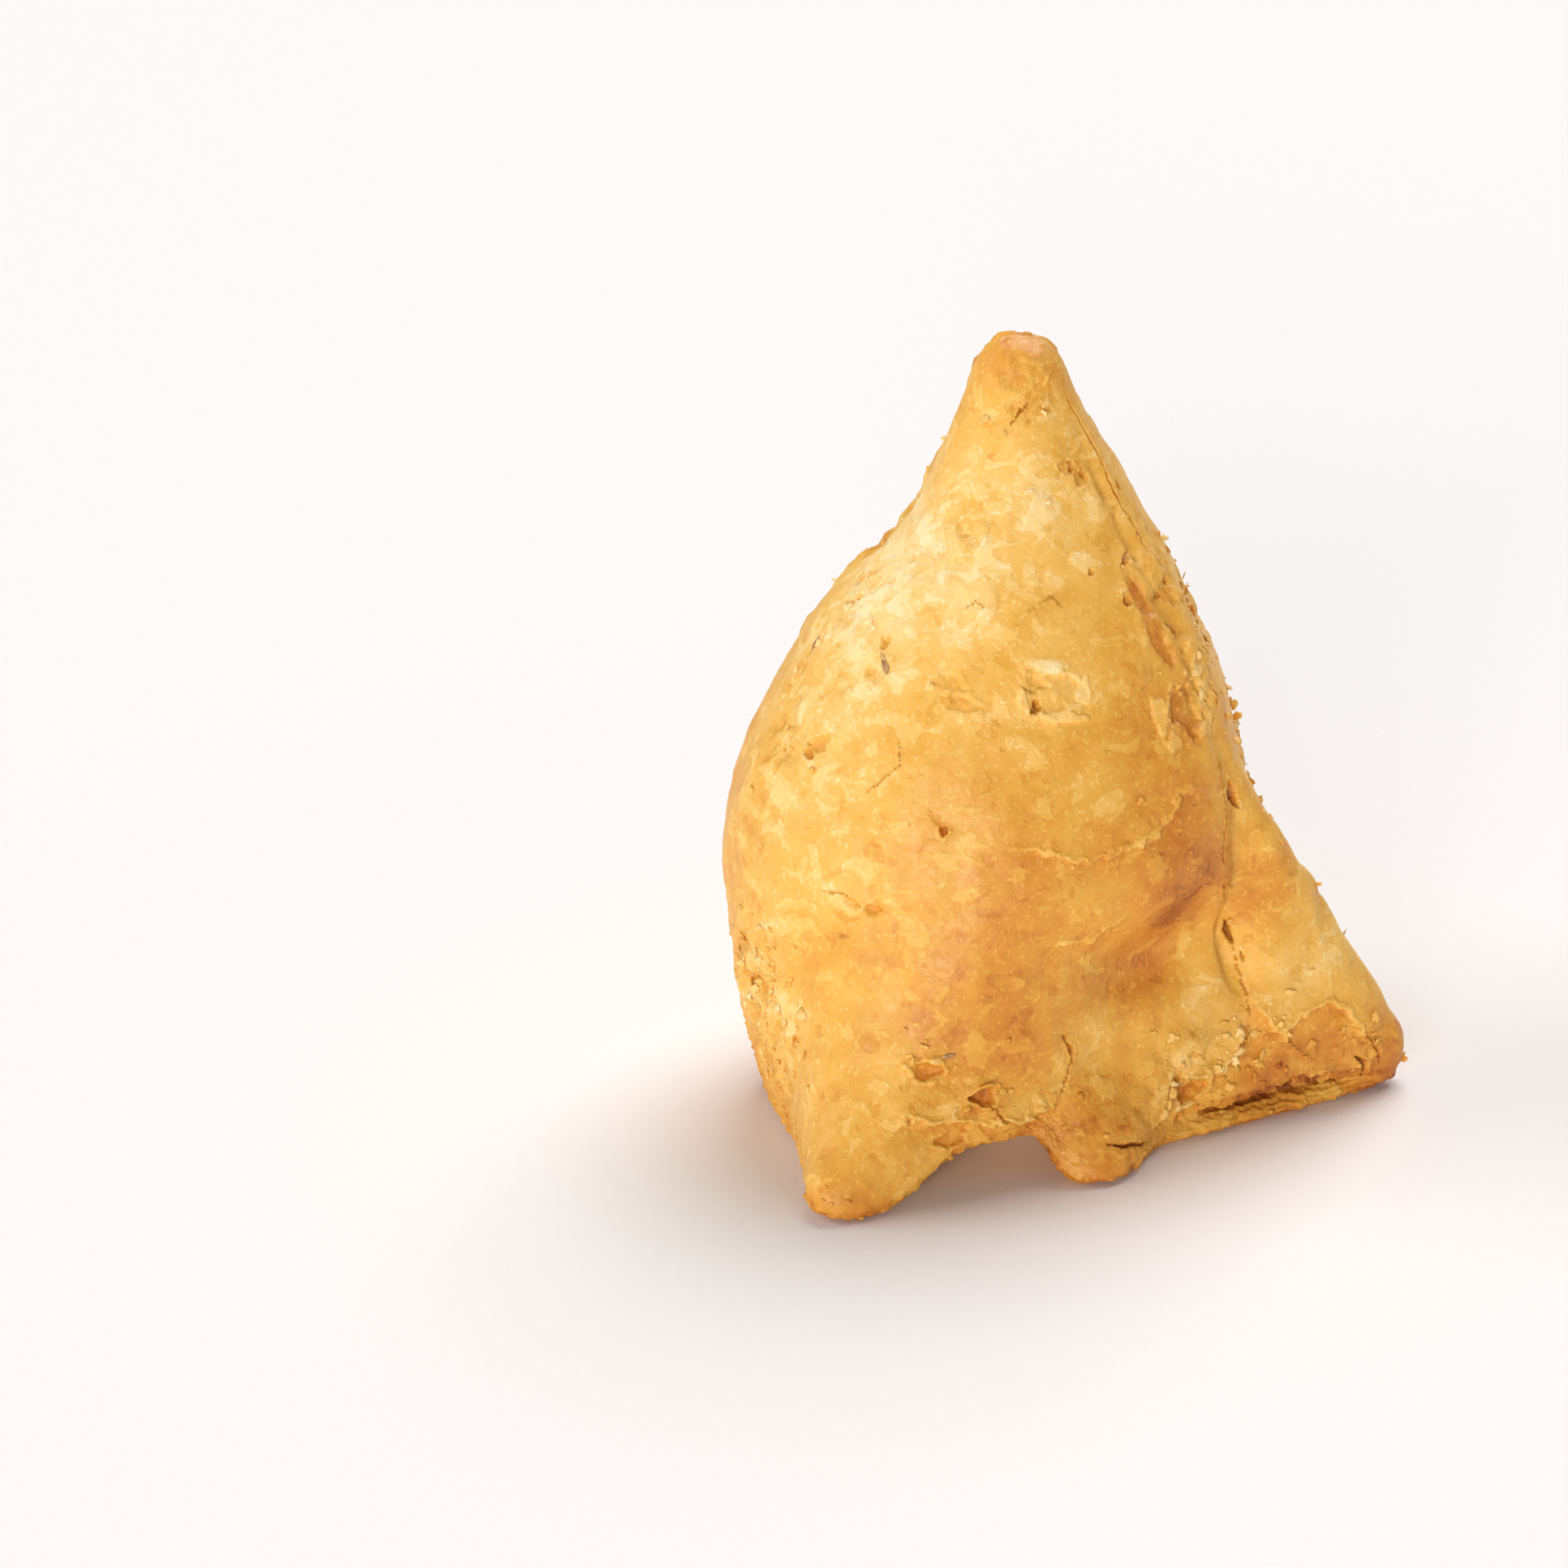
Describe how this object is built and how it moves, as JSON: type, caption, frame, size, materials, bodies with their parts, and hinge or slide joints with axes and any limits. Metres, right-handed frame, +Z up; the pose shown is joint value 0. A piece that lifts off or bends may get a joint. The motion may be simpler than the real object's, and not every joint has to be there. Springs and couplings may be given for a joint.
{
  "type": "samosa",
  "caption": "Fried pastry cone with a blunt tip, a round filled belly and its mouth pinched shut in a flat, torn two-ply seam with two pointed corners, standing on its base.",
  "frame": {"origin": "middle of the bounding box's footprint, on the surface that the samosa stands on", "axes": "+Z up to the tip of the cone, -Y out of the pinched seam, +X towards the seam corner beside the pleat"},
  "size_m": [0.0782, 0.059, 0.0885],
  "materials": {
    "fried_dough": "golden fried dough, dull to satin, flaky and pitted, browner at the tip, corners and seam"
  },
  "bodies": {
    "root": {"samosa": "fried_dough"}
  },
  "joints": []
}
